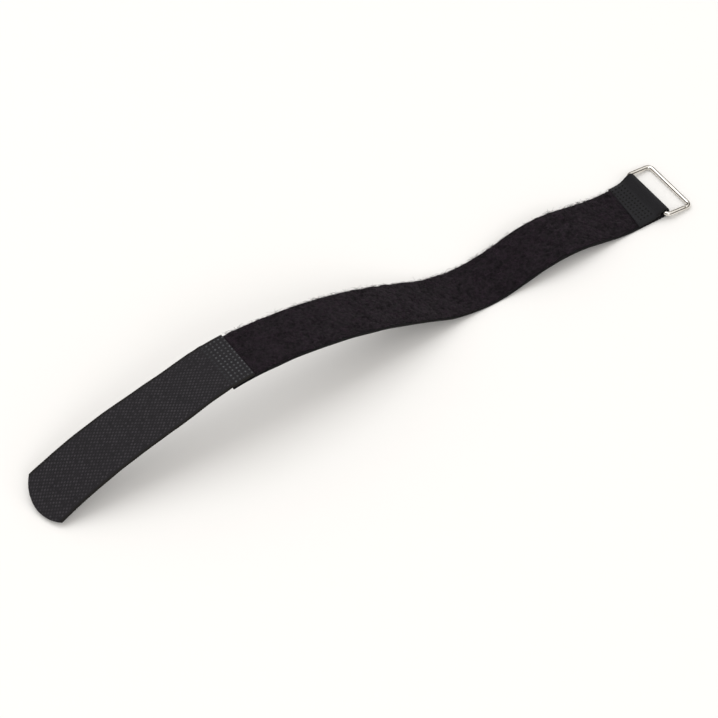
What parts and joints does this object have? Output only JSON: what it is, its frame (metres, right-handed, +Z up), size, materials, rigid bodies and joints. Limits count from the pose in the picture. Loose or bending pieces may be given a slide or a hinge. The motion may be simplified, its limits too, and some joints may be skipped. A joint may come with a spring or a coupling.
{
  "type": "hook-and-loop wrist strap",
  "caption": "Flat hook-and-loop strap: a rounded hook tape welded to a loop tape that is folded round the bar of a rectangular wire ring, lying open in a shallow wave.",
  "frame": {"origin": "centre of the footprint, on the table the strap lies on", "axes": "+X along the strap from the rounded hook tip to the ring, +Y across the strap, +Z up from the table, which is the pile side"},
  "size_m": [0.3116, 0.03, 0.0322],
  "materials": {
    "loop_weave": "woven polyamide base, matte, charcoal black",
    "loop_pile": "brushed loop pile, fuzzy, purple black",
    "hook_weave": "ribbed woven back of the hook tape, matte charcoal",
    "hooks": "monofilament hooks, satin black",
    "weld": "melted polyamide, glossy black",
    "ring_wire": "bright nickel plate"
  },
  "bodies": {
    "band": {"loop_tape": "loop_weave", "loop_pile": "loop_pile", "hook_tape_root": "hook_weave", "hook_field_root": "hooks", "tape_weld": "weld", "fold_weld": "weld"},
    "hook_tab": {"hook_tape": "hook_weave", "hook_field": "hooks"},
    "ring": {"wire_ring": "ring_wire"}
  },
  "joints": [
    {"name": "hook_tab_lift", "type": "hinge", "parent": "band", "child": "hook_tab", "pos_m": [-0.07845, 0, 0.03004], "axis": [0, 1, 0], "range_deg": [0, 60]},
    {"name": "ring_swing", "type": "hinge", "parent": "band", "child": "ring", "pos_m": [0.14228, 0, 0.0024], "axis": [0, -1, 0], "range_deg": [0, 175]}
  ]
}
